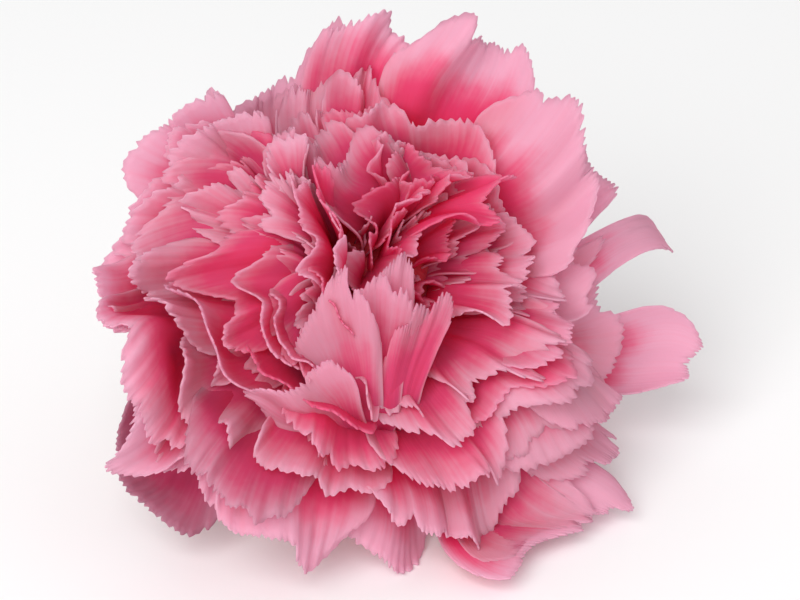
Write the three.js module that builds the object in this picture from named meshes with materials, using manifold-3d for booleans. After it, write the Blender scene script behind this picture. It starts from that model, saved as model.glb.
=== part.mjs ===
// A cut double carnation that lies on a table on the rim of its bloom and on the cut end of its stem.
// Millimetres, +Z up, the table at Z = 0. The flower frame has its Z axis along the stem, out of the bloom,
// and its origin in the mouth of the calyx; azimuths are counted round that axis.
import * as THREE from 'three';
import { mergeVertices } from 'three/addons/utils/BufferGeometryUtils.js';
import Module from 'manifold-3d';

const wasm = await Module();
wasm.setup();

const DEG = Math.PI / 180;
const BLADE = 0.7;                 // thickness of a petal
const ROOT_RADIUS = 6.4;           // the ring in which the outer petals stand

// how the flower lies: seen from `height` degrees above the table its own Y axis points upwards, and its Z
// axis leans away from the line of sight by `lean` degrees, towards `azimuth`
const LIE = { lean: 28, azimuth: 225, height: 28 };
const MOUTH_HEIGHT = 25;           // the calyx mouth above the plane that the rim petals are pressed to
const PRESS = 0.9;                 // petals that reach lower than this bend and lie along the table
const FLAT = 0.25;                 // how much of the lowest petals' underside is flat on the table

// between heart and rim the petals stand in a golden-angle spiral; the one numbered `span` would lie flat
const GOLDEN = 137.508 * DEG;
const INNER = { seed: 19, first: 26, last: 45, span: 56 };
const OPEN_SIDE = { azimuth: 52 * DEG, upright: 0.42 };   // on this side they are shorter and more upright

// the heart's two whorls lean apart: lean, azimuth, petals, shortest and longest petal, widest half width,
// spread
const WHORL_SEED = 41;
const WHORLS = [
  [8, 0, 15, 23, 30, 9, 40],
  [30, 138, 14, 25, 34, 10, 44],
];
const NEST_SIDE = { azimuth: -98 * DEG, short: 0.26 };    // towards the nest the whorls' petals are shorter

// the bud petals run out straight, then turn back over the heart: turn, recline, straight stretch, bend,
// length, half width, folds, depth of the folds
const BUD_SIDE = { seed: 5, lean: 62 * DEG, azimuth: -92 * DEG };
const BUD = [
  [104, 134, 24, 13, 53, 4.5, 1.0, 5],
  [84, 122, 22, 14, 46, 4.5, 1.4, 7],
  [122, 120, 22, 15, 51, 5, 1.6, 8],
  [100, 120, 20, 15, 46, 7, 1.6, 8],
  [146, 96, 22, 15, 46, 7, 1.8, 8],
];

// the nest's petals stand in one another like bowls, upright at the margin: azimuth, recline, length, half
// width, curl, folds, depth of the folds
const NEST_SEED = 23;
const NEST = [
  [-138, 50, 34, 12, -28, 1.0, 2],
  [-155, 52, 35, 14, -28, 1.2, 3],
  [-126, 58, 36, 15, -28, 1.1, 2.5],
  [-146, 66, 38, 16, -26, 1.4, 3],
  [-94, 72, 28.5, 9, -20, 1.0, 2],
  [-50, 60, 34, 14, -26, 1.2, 3],
  [-28, 52, 33, 13, -24, 1.4, 4],
  [-64, 70, 34, 15, -22, 1.4, 3],
  [178, 34, 32, 10, -8, 1.6, 6],
  [-166, 26, 31, 10, -6, 1.4, 6],
  [-142, 32, 31, 10, -8, 1.5, 5],
  [158, 28, 31, 9, -6, 1.7, 7],
];

// short petals that fringe the heart's far side
const FRINGE = { seed: 31, count: 24, from: 106 * DEG, turn: 140 * DEG };
const RATIO = (Math.sqrt(5) - 1) / 2;                     // spreads them evenly over that turn

// the guard petals of the rim: azimuth, recline, length, half width, curl, cup, folds, depth of the folds
const OUTER_SEED = 77;
const GUARDS = [
  [95, 62, 37, 14, 2, -4, 2.4, 6],
  [71, 54, 42.5, 13.5, 0, -3, 2.2, 5],
  [36, 48, 40, 19.5, 0, -4, 0.8, 3],
  [16, 58, 36, 16, 0, -4, 1.1, 3],
  [27, 78, 37.5, 13, 4, 0, 2.2, 6],
  [17, 92, 46, 5.2, 22, 0, 0.5, 1],        // the strap petal
  [-4, 76, 35.5, 14, 10, 0, 2.0, 5],
  [-6, 88, 52, 5.8, 0, -20, 1.6, 4],         // the rolled petal
  [-22, 86, 35.5, 15, 8, 0, 1.8, 5],
  [-38, 74, 37.5, 17, 14, 0, 1.2, 3],
  [-50, 88, 48.5, 13, 2, -6, 1.3, 4],
  [-61, 84, 51, 14, 6, -5, 1.5, 4],
  [-92, 88, 38.5, 17, 6, -5, 1.5, 4],
  [-112, 84, 44, 17, 14, 0, 2.2, 6],
  [-138, 100, 43.5, 16, 0, 2, 1.2, 4],
  [-122, 78, 45, 16, 20, 0, 2.6, 7],
  [-153, 80, 46.5, 17, 16, 0, 2.4, 6],
  [-172, 84, 36, 16, 12, 0, 2.6, 7],
  [165, 76, 34.5, 16, 14, 0, 2.4, 5],
  [150, 80, 36.5, 17, 8, 0, 2.0, 6],
  [130, 70, 32, 17, 8, -2, 1.8, 6],
  [113, 68, 33, 17, 4, -3, 2.2, 7],
];
// the recurved petals between guards and heart
const RECURVED = [
  [-147, 84, 47, 13, 12, 2, 2.2, 6],
  [-56, 84, 49, 13, 8, -3, 1.6, 5],
  [-146, 86, 41, 14, 12, 4, 2.6, 8],
  [-126, 86, 41, 14, 14, 4, 2.6, 8],
  [-166, 80, 40, 14, 16, 2, 2.6, 8],
  [-28, 72, 37, 14, 14, 0, 2.0, 5],
  [-60, 78, 38, 14, 18, 0, 2.4, 7],
  [-84, 76, 37, 14, 20, 0, 2.4, 7],
  [-108, 72, 37, 14, 22, 0, 2.6, 7],
  [-136, 76, 38, 15, 22, 0, 2.6, 7],
  [-162, 70, 36, 14, 22, 0, 2.6, 7],
  [176, 72, 34.5, 14, 20, 0, 2.4, 6],
  [152, 68, 34, 13, 14, 0, 2.0, 6],
  [-44, 73, 34.5, 14, 20, -2, 0.9, 4],
  [-33, 84, 42, 13, 6, -6, 1.0, 4],
];
const STRAP_WIDTH = 5.5;           // a petal narrower than this bends sideways, by STRAP_SWEEP
const STRAP_SWEEP = -0.12;

// the petals stand too close to build them all: the first one built, counted from 0, and one in how many
const BUILT = {
  inner: [3, 4], whorls: [1, 3], bud: [0, 2], nest: [0, 2], fringe: [1, 8], guards: [0, 1], recurved: [1, 2],
};

// crumpling: shear waves in which no two petals cross; the tight ones fade out towards the rim
const BROAD_WAVES = { seed: 11, count: 6, length: [22, 36], shear: [0.05, 0.08], tip: 0.6 };
const TIGHT_WAVES = { seed: 63, count: 6, length: [15, 23], shear: [0.045, 0.08], tip: 0.35 };
// ruffles: the petals lean in and out together as they go round, the least on the smooth side; each ruffle
// has its count round the bloom, size in degrees, phase and turn per millimetre outwards
const RUFFLES = [[11, 2.4, 0.9, 0.05], [17, 2.4, 2.1, -0.06], [7, 1.6, 4.2, 0.04], [24, 1.8, 5.2, 0.08]];
const SMOOTH_SIDE = { azimuth: -35 * DEG, least: 0.3 };
const CALM = { place: new THREE.Vector3(-8, -18, 22), size: 13, share: 0.8 };   // where all folds are softest

// a petal's grid: the share of its reach and the number of points in each row; the first lies in the core
const ROWS = [[0.28, 2], [0.56, 4], [0.79, 7], [1, 12]];
const INNER_ROWS = [[0.33, 2], [0.62, 4], [0.83, 6], [1, 9]];
const SLIM_ROWS = [[0.2, 3], [0.45, 3], [0.75, 5], [1, 7]];
const BUD_ROWS = [[0.3, 2], [0.48, 3], [0.6, 4], [0.73, 4], [1, 6]];
const SLIM_FAN = 0.25;             // petals that fan out less than this, to each side, take SLIM_ROWS
const ROUND = 0.75;                // how round the two shoulders of a petal are
const TOOTH = 0.8;                 // depth of the teeth in a margin
const FRILL_DRAWS = 3;             // the draws of a petal's fine frills, too fine for this grid

// the core that carries the petals: the bundle of their claws, as radius and height along the axis, and above
// it the mass of their narrow lower halves, as shares of the underside's recline and lengths along the petals
const CLAWS = [[4.3, -21], [5.0, -14], [6.0, -6], [6.8, -0.2]];
const UNDERSIDE = {
  root: 6.9, rise: 12, bend: 8, recline: 94, lengths: [5, 15],
  raised: 32, azimuth: 75 * DEG,   // it turns up towards this azimuth, the bloom's upright side
};
const MASS = [[0.84, 20], [0.5, 19]];
const MASS_TOP = 17;
const CORE_SIDES = 12;
const WELD = 0.05;

// calyx, bracts and stem
const CALYX = {
  gap: 0.45, wall: 0.8, floor: -21.4, base: -24, sides: 40,
  teeth: 5, tooth: 3.0, flare: 3.0, notch: 0.2,
};
const STEM = { radius: 2.4, collar: 3.4, collarEnd: -27, sides: 16 };
const BRACTS = { pairs: [[8.5, 0], [10.5, Math.PI / 2]], foot: -26, halfWidth: 0.85, thick: 0.8 };

const PINK = { color: 0xd9688a, roughness: 0.6, metalness: 0 };
const GREEN = { color: 0x7d9a5c, roughness: 0.55, metalness: 0 };

// random numbers that are the same on every run: the Park-Miller generator
class Draw {
  constructor(seed) {
    this.state = seed;
    this.skip(3);
  }
  skip(count) {
    for (let k = 0; k < count; k++) this.next();
  }
  next(low = 0, high = 1) {
    this.state = (this.state * 16807) % 2147483647;
    return low + (high - low) * this.state / 2147483647;
  }
}

const clamp = (x, low, high) => Math.min(Math.max(x, low), high);

function smooth(x) {
  const t = clamp(x, 0, 1);
  return t * t * (3 - 2 * t);
}

function makeWaves({ seed, count, length, shear, tip }) {
  const draw = new Draw(seed);
  const waves = [];
  for (let k = 0; k < count; k++) {
    const rise = tip * draw.next(-1, 1);
    const turn = draw.next(0, 2 * Math.PI);
    const along = new THREE.Vector3(Math.cos(turn), Math.sin(turn), rise).normalize();
    const push = new THREE.Vector3(draw.next(-1, 1), draw.next(-1, 1), draw.next(-1, 1));
    push.addScaledVector(along, -push.dot(along)).normalize();
    const period = draw.next(...length);
    push.multiplyScalar(period * draw.next(...shear));
    along.multiplyScalar(2 * Math.PI / period);
    waves.push({ along, push, phase: draw.next(0, 2 * Math.PI) });
  }
  return waves;
}

const BROAD = makeWaves(BROAD_WAVES);
const TIGHT = makeWaves(TIGHT_WAVES);

const calm = (p) => 1 - CALM.share * Math.exp(-p.distanceToSquared(CALM.place) / (2 * CALM.size ** 2));

function crumple(p) {
  const soft = calm(p);
  for (const { along, push, phase } of BROAD) {
    const share = soft * smooth((p.length() - 6) / 20);
    p.addScaledVector(push, Math.sin(p.dot(along) + phase) * share);
  }
  for (const { along, push, phase } of TIGHT) {
    const rim = 1 - 0.72 * smooth((Math.hypot(p.x, p.y) - 8) / 16);
    const share = soft * rim * smooth((p.length() - 8) / 14);
    p.addScaledVector(push, Math.sin(p.dot(along) + phase) * share);
  }
  return p;
}

function ruffle(p) {
  const out = Math.hypot(p.x, p.y);
  const far = p.length();
  const turn = Math.atan2(p.y, p.x);
  const side = (1 - Math.cos(turn - SMOOTH_SIDE.azimuth)) / 2;
  let size = smooth((far - 12) / 24) * smooth((out - 6) / 22) * calm(p);
  size *= SMOOTH_SIDE.least + (1 - SMOOTH_SIDE.least) * side;
  let lean = 0;
  for (const [count, degrees, phase, swirl] of RUFFLES) {
    lean += degrees * Math.sin(count * turn + phase + swirl * far);
  }
  const tilt = Math.atan2(out, p.z) + DEG * lean * size;
  const wide = far * Math.sin(tilt);
  return p.set(wide * Math.cos(turn), wide * Math.sin(turn), far * Math.cos(tilt));
}

// a side whorl's points are turned about the mouth so that its own axis leans towards an azimuth
function leanOver(p, { lean, azimuth }) {
  const angle = lean * smooth(p.length() / 14);
  const level = new THREE.Vector3(-Math.sin(azimuth), Math.cos(azimuth), 0);
  return p.applyAxisAngle(level, angle);
}

// a petal's dimensions with its random phases
function waved(draw, petal) {
  const spec = { ...petal, phase: draw.next(0, 6.28), skew: draw.next(-1, 1) };
  draw.skip(FRILL_DRAWS);
  return spec;
}

// one inner petal's dimensions; t runs from 0 in the middle towards 1 at the rim
function innerPetal(draw, index) {
  const t = index / INNER.span;
  const azimuth = index * GOLDEN + draw.next(-0.2, 0.2);
  const open = Math.max(0, Math.cos(azimuth - OPEN_SIDE.azimuth));
  const upright = 1 - OPEN_SIDE.upright * open * Math.min(1, 2 * t);
  const end = (5 + 90 * t ** 0.8 + draw.next(-6, 6)) * upright;
  const curled = (6 + 30 * Math.min(1, 2.2 * t) - 8 * t) * (1 - 0.75 * open);
  const curl = curled + draw.next(-8, 8) * (1 - 0.75 * open);
  const cut = open * (9 * smooth(2 * t) - 4 * smooth(3 * t - 2));
  const length = 25 + 13 * t ** 0.8 + draw.next(-1.5, 1.5) - cut;
  const root = 0.8 + 5.6 * Math.sqrt(t);
  const out = root + 0.9 * length * Math.sin(clamp(end, 8, 90) * DEG);
  return waved(draw, {
    azimuth, length, root, curl, rise: 2 + 4 * t, recline: end - 0.62 * curled, bend: 20 - 9 * t,
    fan: Math.min((11 + 7.5 * t + draw.next(-1.5, 2.5)) / out, 1.45), base: Math.min(1.6 / root, 1),
    cup: draw.next(-6, 1), twist: draw.next(-5, 5), sweep: draw.next(-0.25, 0.25),
    folds: draw.next(1.4, 3.2), fold: draw.next(6, 12), drop: 0.22, shape: 3, lobe: 0.04, rows: INNER_ROWS,
  });
}

function whorlPetal(draw, index, [lean, azimuth, count, shortest, longest, widest, spread]) {
  const t = (index + 0.6) / count;
  const turn = index * GOLDEN + draw.next(-0.2, 0.2);
  const end = 4 + spread * t ** 0.9 + draw.next(-3, 3);
  const curl = 8 + 22 * t + draw.next(-8, 8);
  const full = shortest + (longest - shortest) * t + draw.next(-1.5, 1.5);
  const length = full * (1 - NEST_SIDE.short * Math.max(0, Math.cos(turn - NEST_SIDE.azimuth)));
  const root = 0.6 + 2.2 * Math.sqrt(t);
  const out = root + 0.6 * length * Math.sin(Math.max(end, 8) * DEG);
  return waved(draw, {
    azimuth: turn, length, root, curl, rise: 2, recline: end, bend: 21,
    fan: Math.min((widest * (0.6 + 0.4 * t) + draw.next(-1.5, 1.5)) / out, 1.5),
    base: Math.min(1.6 / root, 1),
    cup: draw.next(-3, 1), twist: draw.next(-2, 2), sweep: draw.next(-0.15, 0.15),
    folds: draw.next(1.4, 3), fold: draw.next(8, 14), drop: 0.22, shape: 3, lobe: 0.04, rows: INNER_ROWS,
    whorl: { lean: lean * DEG, azimuth: azimuth * DEG },
  });
}

function budPetal(draw, [turn, recline, straight, bend, length, width, folds, fold]) {
  return waved(draw, {
    azimuth: turn * DEG, length, root: 2.6, curl: 0, rise: 0, recline, bend, straight, fan: width / 12,
    base: 0.5, cup: 0, twist: 0, sweep: 0, folds, fold, drop: 0.22, shape: 3, lobe: 0.04, rows: BUD_ROWS,
    whorl: BUD_SIDE,
  });
}

function nestPetal(draw, [azimuth, recline, length, width, curl, folds, fold]) {
  const out = 4 + 0.85 * length * Math.sin((recline + 0.3 * curl) * DEG);
  return waved(draw, {
    azimuth: azimuth * DEG, length, root: 4, curl, rise: 6, recline, bend: 12, fan: width / out, base: 0.4,
    cup: 0, twist: draw.next(-3, 3), sweep: draw.next(-0.1, 0.1), folds, fold, drop: 0.22, shape: 3,
    lobe: 0.03, rows: INNER_ROWS,
  });
}

function fringePetal(draw, index) {
  const t = (index + 0.5) / FRINGE.count;
  const recline = 36 + 38 * t;
  const length = 26 + 8 * t + draw.next(-1.5, 1.5);
  const out = 4.5 + 0.8 * length * Math.sin(recline * DEG);
  return waved(draw, {
    azimuth: FRINGE.from + FRINGE.turn * (index * RATIO % 1), length, root: 4.5, curl: 14, rise: 4, recline,
    bend: 15, fan: draw.next(7.5, 10.5) / out, base: 0.35, cup: draw.next(-3, 1), twist: draw.next(-4, 4),
    sweep: draw.next(-0.2, 0.2), folds: draw.next(1.4, 2.6), fold: draw.next(7, 12), drop: 0.22, shape: 3,
    lobe: 0.04, rows: INNER_ROWS,
  });
}

function outerPetal(draw, [azimuth, recline, length, width, curl, cup, folds, fold]) {
  const out = ROOT_RADIUS + 0.9 * length * Math.sin(Math.min(recline, 90) * DEG);
  const fan = width / out;
  return waved(draw, {
    azimuth: azimuth * DEG, length, root: ROOT_RADIUS, curl, cup, folds, fold,
    rise: 6, recline: recline - 0.4 * curl, bend: 10, fan, base: 0.25, twist: 4,
    sweep: width > STRAP_WIDTH ? draw.next(-0.05, 0.05) : STRAP_SWEEP,
    drop: 0.26, shape: 3.2, lobe: 0.03, rows: fan < SLIM_FAN ? SLIM_ROWS : ROWS,
  });
}

// the angle from the flower's axis at which a petal runs, at u across it and s along it
function reclineAt(p, u, s) {
  const f = s / p.length;
  const wave = p.folds * Math.PI * u + p.phase + 1.2 * (f - 1) * p.skew;
  const fold = p.fold * f ** 3 * (Math.sin(wave) + 0.28 * Math.cos(2 * wave));
  const tip = clamp((f - 0.4) / 0.6, 0, 1.3) ** 2;
  const bent = p.rise + (p.recline - p.rise) * smooth((s - (p.straight ?? 0)) / p.bend);
  return DEG * (bent + f * (p.twist * u + p.cup * u * u) + p.curl * tip + fold);
}

// a point on a petal's middle surface, in the flower frame
function petalPoint(p, u, v, tooth) {
  const lobe = p.lobe * Math.cos(p.folds * Math.PI * u + p.phase);
  const shoulder = Math.sqrt(1 - ROUND * u ** 8);
  const reach = p.length * (1 - p.drop * Math.abs(u) ** p.shape + lobe) * shoulder - tooth;
  const steps = 16;
  const step = v * reach / steps;
  let out = p.root;
  let height = 0;
  for (let k = 0; k < steps; k++) {
    const angle = reclineAt(p, u, (k + 0.5) * step);
    out += Math.sin(angle) * step;
    height += Math.cos(angle) * step;
  }
  const f = v * reach / p.length;
  const turn = p.azimuth + (p.base + (p.fan - p.base) * smooth(f * 1.15)) * u + p.sweep * f * f;
  const point = new THREE.Vector3(out * Math.cos(turn), out * Math.sin(turn), height);
  if (p.whorl) leanOver(point, p.whorl);
  return crumple(ruffle(point));
}

// from the flower frame to the world, lying on the table
const back = new THREE.Vector3(Math.cos(LIE.azimuth * DEG), Math.sin(LIE.azimuth * DEG), 0);
back.multiplyScalar(Math.sin(LIE.lean * DEG)).setZ(Math.cos(LIE.lean * DEG));
const up = new THREE.Vector3(0, 1, 0);
up.addScaledVector(back, -up.dot(back)).normalize();
const right = new THREE.Vector3().crossVectors(up, back);
const mix = (ofUp, ofBack) => up.clone().multiplyScalar(ofUp).addScaledVector(back, ofBack);
const across = mix(Math.sin(LIE.height * DEG), -Math.cos(LIE.height * DEG));
const above = mix(Math.cos(LIE.height * DEG), Math.sin(LIE.height * DEG));

function place(p) {
  return new THREE.Vector3(p.dot(right), p.dot(across), p.dot(above) + MOUTH_HEIGHT);
}

function press(p) {
  if (p.z < PRESS) p.z = PRESS * Math.exp((p.z - PRESS) / PRESS);
  return p;
}

// triangles between rows that have different numbers of points
function stitch(rows) {
  const faces = [];
  let start = 0;
  for (let r = 0; r + 1 < rows.length; r++) {
    const a = rows[r];
    const b = rows[r + 1];
    const next = start + a;
    let i = 0;
    let j = 0;
    while (i < a - 1 || j < b - 1) {
      const stepLower = j === b - 1 || (i < a - 1 && (i + 1) / (a - 1) < (j + 1) / (b - 1));
      if (stepLower) {
        faces.push([start + i, start + i + 1, next + j]);
        i += 1;
      } else {
        faces.push([start + i, next + j + 1, next + j]);
        j += 1;
      }
    }
    start = next;
  }
  return faces;
}

// the way round the outside of the rows
function border(rows) {
  const starts = rows.map((_, r) => rows.slice(0, r).reduce((sum, n) => sum + n, 0));
  const last = rows.length - 1;
  const loop = [];
  for (let k = 0; k < rows[0]; k++) loop.push(k);
  for (let r = 1; r < last; r++) loop.push(starts[r] + rows[r] - 1);
  for (let k = rows[last] - 1; k >= 0; k--) loop.push(starts[last] + k);
  for (let r = last - 1; r > 0; r--) loop.push(starts[r]);
  return loop;
}

// a closed blade of even thickness round a middle surface, its two faces split into triangles alike
function blade(points, rows, thickness) {
  const faces = stitch(rows);
  const normals = points.map(() => new THREE.Vector3());
  for (const [a, b, c] of faces) {
    const n = new THREE.Vector3().subVectors(points[b], points[a]);
    n.cross(new THREE.Vector3().subVectors(points[c], points[a]));
    for (const k of [a, b, c]) normals[k].add(n);
  }
  const count = points.length;
  const vertices = [];
  for (const side of [0.5, -0.5]) {
    points.forEach((p, k) => {
      const q = p.clone().addScaledVector(normals[k].clone().normalize(), side * thickness);
      vertices.push(q.x, q.y, q.z);
    });
  }
  const triangles = [];
  for (const [a, b, c] of faces) triangles.push(a, b, c, a + count, c + count, b + count);
  const loop = border(rows);
  loop.forEach((a, k) => {
    const b = loop[(k + 1) % loop.length];
    triangles.push(a, a + count, b + count, a, b + count, b);
  });
  return solid(vertices, triangles);
}

function solid(vertices, triangles) {
  return new wasm.Manifold(new wasm.Mesh({
    numProp: 3,
    vertProperties: new Float32Array(vertices),
    triVerts: new Uint32Array(triangles),
  }));
}

function petal(p) {
  const points = [];
  p.rows.forEach(([v, n], r) => {
    const margin = r === p.rows.length - 1;
    for (let k = 0; k < n; k++) {
      const u = 2 * k / (n - 1) - 1;
      points.push(press(place(petalPoint(p, u, v, margin && k % 2 ? TOOTH : 0))));
    }
  });
  return blade(points, p.rows.map(([, n]) => n), BLADE);
}

// a solid about the flower's axis, closed at both ends: profileAt gives its radii and heights at each angle
function turned(profileAt, sides, bottom, top, change = (p) => p) {
  const vertices = [];
  const put = (x, y, z) => {
    const q = place(change(new THREE.Vector3(x, y, z)));
    vertices.push(q.x, q.y, q.z);
  };
  const turns = Array.from({ length: sides }, (_, k) => 2 * Math.PI * k / sides);
  const profiles = turns.map(profileAt);
  const rings = profiles[0].length;
  put(0, 0, bottom);
  for (let r = 0; r < rings; r++) {
    turns.forEach((turn, k) => {
      const [radius, height] = profiles[k][r];
      put(radius * Math.cos(turn), radius * Math.sin(turn), height);
    });
  }
  put(0, 0, top);
  const triangles = [];
  const last = 1 + rings * sides;
  for (let k = 0; k < sides; k++) {
    const m = (k + 1) % sides;
    triangles.push(0, 1 + m, 1 + k);
    for (let r = 0; r + 1 < rings; r++) {
      const a = 1 + r * sides;
      const b = a + sides;
      triangles.push(a + k, a + m, b + m, a + k, b + m, b + k);
    }
    const rim = last - sides;
    triangles.push(last, rim + k, rim + m);
  }
  return solid(vertices, triangles);
}

// radius and height at s along a plain petal of the given recline
function plainPath(root, rise, bend, recline, s) {
  const steps = 12;
  let out = root;
  let height = 0;
  for (let k = 0; k < steps; k++) {
    const angle = DEG * (rise + (recline - rise) * smooth((k + 0.5) * s / steps / bend));
    out += Math.sin(angle) * s / steps;
    height += Math.cos(angle) * s / steps;
  }
  return [out, height];
}

function coreProfile(turn) {
  const { root, rise, bend, azimuth, lengths } = UNDERSIDE;
  const recline = UNDERSIDE.recline - UNDERSIDE.raised * Math.max(0, Math.cos(turn - azimuth)) ** 1.5;
  const below = lengths.map((s) => plainPath(root, rise, bend, recline, s));
  const above = MASS.map(([share, s]) => plainPath(root * share, rise * share, bend, recline * share, s));
  return [...CLAWS, ...below, ...above];
}

// the largest body, without loose scraps and sealed hollows; points nearer together than WELD are joined
function whole(body) {
  const pieces = body.simplify(WELD).decompose().sort((a, b) => b.volume() - a.volume());
  return pieces[0];
}

// of a list of petals, those that are built
const thinned = (petals, [first, step]) => petals.filter((_, k) => k % step === first);

function allPetals() {
  const draws = [INNER, { seed: WHORL_SEED }, BUD_SIDE, { seed: NEST_SEED }, FRINGE, { seed: OUTER_SEED }];
  const [inner, whorl, bud, nest, fringe, outer] = draws.map(({ seed }) => new Draw(seed));
  const numbers = (count) => Array.from({ length: count }, (_, k) => k);
  const innerCount = INNER.last - INNER.first + 1;
  return {
    inner: numbers(innerCount).map((k) => innerPetal(inner, INNER.first + k)),
    whorls: WHORLS.flatMap((row) => numbers(row[2]).map((k) => whorlPetal(whorl, k, row))),
    bud: BUD.map((row) => budPetal(bud, row)),
    nest: NEST.map((row) => nestPetal(nest, row)),
    fringe: numbers(FRINGE.count).map((k) => fringePetal(fringe, k)),
    guards: GUARDS.map((row) => outerPetal(outer, row)),
    recurved: RECURVED.map((row) => outerPetal(outer, row)),
  };
}

function makeBloom() {
  const grown = (p) => (p.z > 0 ? crumple(ruffle(p)) : p);      // the claws stay straight in the calyx
  let body = turned(coreProfile, CORE_SIDES, CLAWS[0][1], MASS_TOP, grown);
  for (const [group, petals] of Object.entries(allPetals())) {
    for (const spec of thinned(petals, BUILT[group])) body = body.add(petal(spec));
  }
  return whole(body.trimByPlane([0, 0, 1], -FLAT));
}

// the calyx tube: its walls follow the claws, and its rim rises in five teeth that lean outwards
function calyxProfile(turn) {
  const inner = CLAWS.map(([r, z]) => [r + CALYX.gap, z]);
  const outer = inner.map(([r, z]) => [r + CALYX.wall, z]);
  const phase = (turn * CALYX.teeth / (2 * Math.PI)) % 1;
  const share = CALYX.notch + (1 - CALYX.notch) * Math.max(1 - Math.abs(2 * phase - 1), 0);
  const rim = inner.length - 1;
  const tipIn = [inner[rim][0] + CALYX.flare * share, CALYX.tooth * share];
  const tipOut = [outer[rim][0] + CALYX.flare * share, CALYX.tooth * share - 0.3];
  return [[STEM.collar, CALYX.base], [outer[0][0] - 0.6, CALYX.base + 1.2], ...outer, tipOut, tipIn,
    ...inner.reverse(), [inner[rim][0], CALYX.floor]];
}

function bract(length, azimuth) {
  const rows = [3, 4, 4, 3, 2];
  const points = [];
  rows.forEach((n, r) => {
    const v = r / (rows.length - 1);
    const z = BRACTS.foot + v * length;
    const out = STEM.radius + 0.5 + (CLAWS[0][0] + 1.3 - STEM.radius) * smooth(v * 1.6) + 0.5 * v * v;
    for (let k = 0; k < n; k++) {
      const u = 2 * k / (n - 1) - 1;
      const turn = azimuth + u * BRACTS.halfWidth * (1 - v ** 2.2 * 0.85);
      points.push(place(new THREE.Vector3(out * Math.cos(turn), out * Math.sin(turn), z)));
    }
  });
  return blade(points, rows, BRACTS.thick);
}

function makeCalyxStem() {
  const down = above.z;                                    // the sine of the axis's height over the table
  const level = Math.sqrt(1 - down * down);
  const end = -(MOUTH_HEIGHT + FLAT - STEM.radius * level + 2 * FLAT) / down;
  const stem = [[STEM.radius, end], [STEM.radius, STEM.collarEnd], [STEM.collar, CALYX.base - 0.6],
    [STEM.collar, CALYX.base + 1]];
  let body = turned(calyxProfile, CALYX.sides, CALYX.base, CALYX.floor);
  body = body.add(turned(() => stem, STEM.sides, end, CALYX.base + 1));
  for (const [length, azimuth] of BRACTS.pairs) {
    body = body.add(bract(length, azimuth)).add(bract(length, azimuth + Math.PI));
  }
  return whole(body.trimByPlane([0, 0, 1], -FLAT));
}

function toMesh(body, name, look) {
  const { vertProperties, triVerts } = body.getMesh();
  let geometry = new THREE.BufferGeometry();
  geometry.setAttribute('position', new THREE.BufferAttribute(new Float32Array(vertProperties), 3));
  geometry.setIndex(Array.from(triVerts));
  geometry = mergeVertices(geometry);
  geometry.computeVertexNormals();
  const mesh = new THREE.Mesh(geometry, new THREE.MeshStandardMaterial(look));
  mesh.name = name;
  return mesh;
}

const flower = new THREE.Group();
flower.name = 'carnation';
flower.add(toMesh(makeBloom(), 'bloom', PINK));
flower.add(toMesh(makeCalyxStem(), 'calyx_stem', GREEN));

// stand on Z = 0, centred in X and Y
const box = new THREE.Box3().setFromObject(flower);
const centre = box.getCenter(new THREE.Vector3());
for (const mesh of flower.children) mesh.geometry.translate(-centre.x, -centre.y, -box.min.z);

export default flower;
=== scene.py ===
"""A cut double carnation that lies on a table on the rim of its petals and on the cut end of its stem.

Lengths are in millimetres up to the point where a mesh is placed, which turns them into metres. The tables
give angles in degrees. The flower frame has its Z axis along the stem, out of the bloom, and its origin in
the calyx's mouth; azimuths are counted round that axis.
"""
import math

import bpy
import numpy as np
from mathutils import Matrix, Vector


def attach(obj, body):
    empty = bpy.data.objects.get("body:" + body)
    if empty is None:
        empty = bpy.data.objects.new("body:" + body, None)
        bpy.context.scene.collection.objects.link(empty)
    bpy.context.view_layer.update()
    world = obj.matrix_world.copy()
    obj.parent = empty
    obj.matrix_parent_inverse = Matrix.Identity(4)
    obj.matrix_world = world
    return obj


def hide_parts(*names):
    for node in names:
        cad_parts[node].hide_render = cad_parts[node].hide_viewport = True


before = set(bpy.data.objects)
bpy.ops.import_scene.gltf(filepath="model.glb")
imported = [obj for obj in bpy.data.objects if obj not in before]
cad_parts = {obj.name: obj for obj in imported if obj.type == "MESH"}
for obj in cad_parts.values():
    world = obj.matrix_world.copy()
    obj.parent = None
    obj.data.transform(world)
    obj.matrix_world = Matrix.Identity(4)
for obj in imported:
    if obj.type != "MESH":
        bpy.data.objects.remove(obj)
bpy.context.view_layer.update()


# ---- how the flower lies -------------------------------------------------------------------------
# Cut and laid down, the flower leans on the lower petals of its rim and on the end of its stem. Seen from
# VIEW_HEIGHT above the table, its own Y axis points up and its Z axis leans away from the line of sight by
# LEAN, towards LEAN_AZIMUTH.
MM = 0.001
LEAN = math.radians(28)
LEAN_AZIMUTH = math.radians(225)
VIEW_HEIGHT = math.radians(28)
MOUTH = np.array([-8.891, 11.628, 25.25])    # the calyx's mouth in the part's frame

axis = np.array([
    math.cos(LEAN_AZIMUTH) * math.sin(LEAN),
    math.sin(LEAN_AZIMUTH) * math.sin(LEAN),
    math.cos(LEAN),
])
upright = np.array([0, 1, 0]) - axis[1] * axis
upright /= np.linalg.norm(upright)
to_table = np.array([
    np.cross(upright, axis),
    upright * math.sin(VIEW_HEIGHT) - axis * math.cos(VIEW_HEIGHT),
    upright * math.cos(VIEW_HEIGHT) + axis * math.sin(VIEW_HEIGHT),
])


def laid(points):
    """Points of the flower frame as they lie on the table, in millimetres."""
    return np.asarray(points, float) @ to_table.T + MOUTH


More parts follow.
